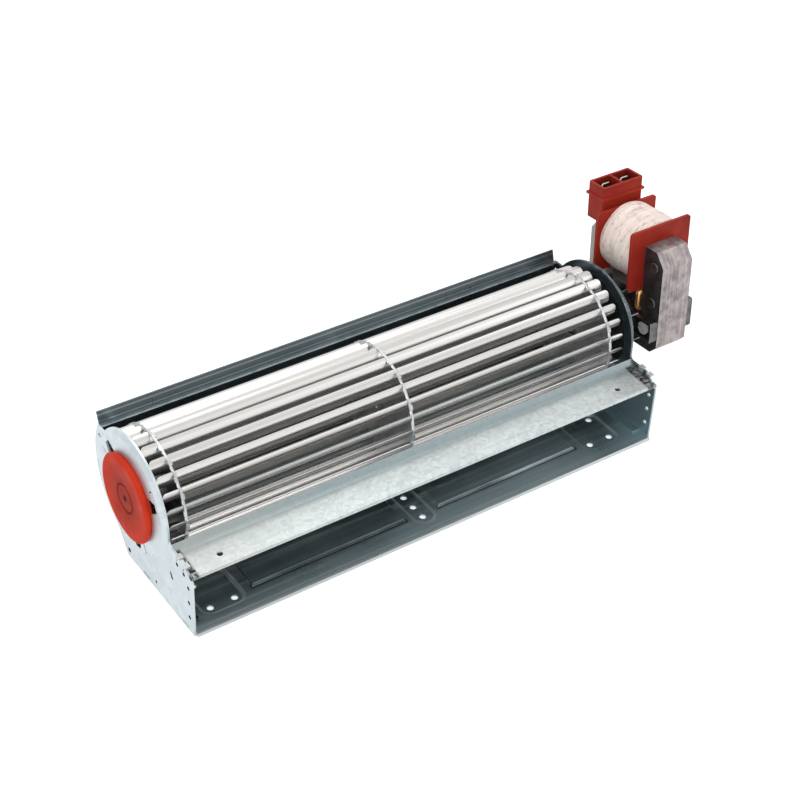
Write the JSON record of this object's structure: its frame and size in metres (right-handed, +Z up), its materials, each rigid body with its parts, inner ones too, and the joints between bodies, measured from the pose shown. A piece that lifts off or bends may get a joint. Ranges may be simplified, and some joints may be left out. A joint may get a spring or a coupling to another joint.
{
  "type": "cross flow fan",
  "caption": "Cross flow fan: a long bladed aluminium wheel in a folded sheet metal housing with a skeleton motor at one end.",
  "frame": {"origin": "middle hole of the centre mounting pad, on the plane that the housing rests on", "axes": "+X along the wheel's axis towards the motor, -Y out of the air outlet, +Z up"},
  "size_m": [0.3223, 0.0915, 0.1049],
  "materials": {
    "blade_aluminium": "bright rolled sheet",
    "disc_aluminium": "punched and crimped sheet",
    "galvanised_sheet": "galvanised, grey blue",
    "galvanised_strip": "galvanised with spangle",
    "plate_zinc": "pale zinc",
    "red_elastomer": "satin moulded silicone",
    "sintered_bronze": "oiled, dull",
    "cast_alloy": "die cast",
    "spring_steel": "dark spring temper",
    "laminations": "stacked laminations",
    "plain_steel": "plain",
    "plated_steel": "zinc plated",
    "ground_steel": "ground",
    "copper": "bare copper wire",
    "red_plastic": "moulded brown red",
    "winding_tape": "copper winding under pale tape",
    "tinned_brass": "tinned",
    "dark_sheet": "dark stamped sheet"
  },
  "bodies": {
    "housing": {"scroll_housing": "galvanised_sheet", "vortex_strip": "galvanised_strip", "end_plate_idle": "plate_zinc", "end_plate_motor": "plate_zinc", "bearing_mount": "red_elastomer", "idle_bearing_bush": "sintered_bronze", "motor_bridge_inner": "cast_alloy", "motor_bridge_outer": "cast_alloy", "bearing_bush_inner": "sintered_bronze", "bearing_bush_outer": "sintered_bronze", "bearing_clip_inner": "spring_steel", "bearing_clip_outer": "spring_steel", "stator_stack": "laminations", "coil_core": "laminations", "stack_rivets": "plain_steel", "stack_screws": "plated_steel", "plate_screws": "plated_steel", "shading_ring_front": "copper", "shading_ring_rear": "copper", "coil_bobbin": "red_plastic", "coil_winding": "winding_tape", "terminal_near": "tinned_brass", "terminal_far": "tinned_brass"},
    "impeller": {"blade_01": "blade_aluminium", "blade_02": "blade_aluminium", "blade_03": "blade_aluminium", "blade_04": "blade_aluminium", "blade_05": "blade_aluminium", "blade_06": "blade_aluminium", "blade_07": "blade_aluminium", "blade_08": "blade_aluminium", "blade_09": "blade_aluminium", "blade_10": "blade_aluminium", "blade_11": "blade_aluminium", "blade_12": "blade_aluminium", "blade_13": "blade_aluminium", "blade_14": "blade_aluminium", "blade_15": "blade_aluminium", "blade_16": "blade_aluminium", "blade_17": "blade_aluminium", "blade_18": "blade_aluminium", "blade_19": "blade_aluminium", "blade_20": "blade_aluminium", "blade_21": "blade_aluminium", "blade_22": "blade_aluminium", "blade_23": "blade_aluminium", "blade_24": "blade_aluminium", "impeller_disc_idle": "disc_aluminium", "impeller_disc_middle": "disc_aluminium", "impeller_disc_drive": "disc_aluminium", "stub_shaft": "plain_steel", "drive_hub": "cast_alloy", "drive_hub_screw": "spring_steel", "motor_shaft": "ground_steel", "rotor_core": "laminations", "thrust_washers": "sintered_bronze", "cooling_wheel": "dark_sheet"}
  },
  "joints": [
    {"name": "impeller_spin", "type": "hinge", "parent": "housing", "child": "impeller", "pos_m": [0, 0.033, 0.0436], "axis": [1, 0, 0], "continuous": true}
  ]
}
